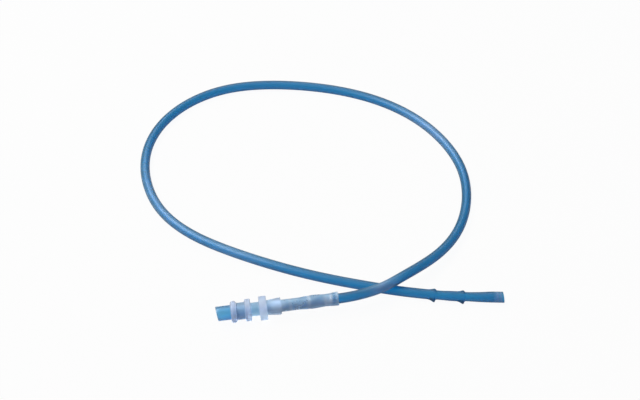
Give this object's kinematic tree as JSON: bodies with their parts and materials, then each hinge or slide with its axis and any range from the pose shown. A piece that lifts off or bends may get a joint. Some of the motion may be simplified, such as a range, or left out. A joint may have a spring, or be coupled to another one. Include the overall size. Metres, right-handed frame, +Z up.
{
  "type": "oxygen catheter",
  "caption": "Thin hollow oxygen catheter lying in an open loop, with side eyes at its open tip, a sleeve, a ribbed connector and a short inlet stub.",
  "frame": {"origin": "on the surface that the catheter lies on, under the middle of its bounding box", "axes": "+X from the connector's side of the loop towards the open tip, the longest extent; +Y from the connector across the loop; +Z up, the shortest extent"},
  "size_m": [0.1244, 0.1141, 0.0079],
  "materials": {
    "blue_tube": "smooth translucent blue soft PVC",
    "clear_sleeve": "smooth milky clear soft PVC over the blue tube",
    "clear_connector": "smooth milky clear moulded PVC",
    "blue_stub": "smooth translucent blue PVC"
  },
  "bodies": {
    "root": {"catheter_tube": "blue_tube", "tail_sleeve": "clear_sleeve", "ribbed_connector": "clear_connector", "inlet_stub": "blue_stub"}
  },
  "joints": []
}
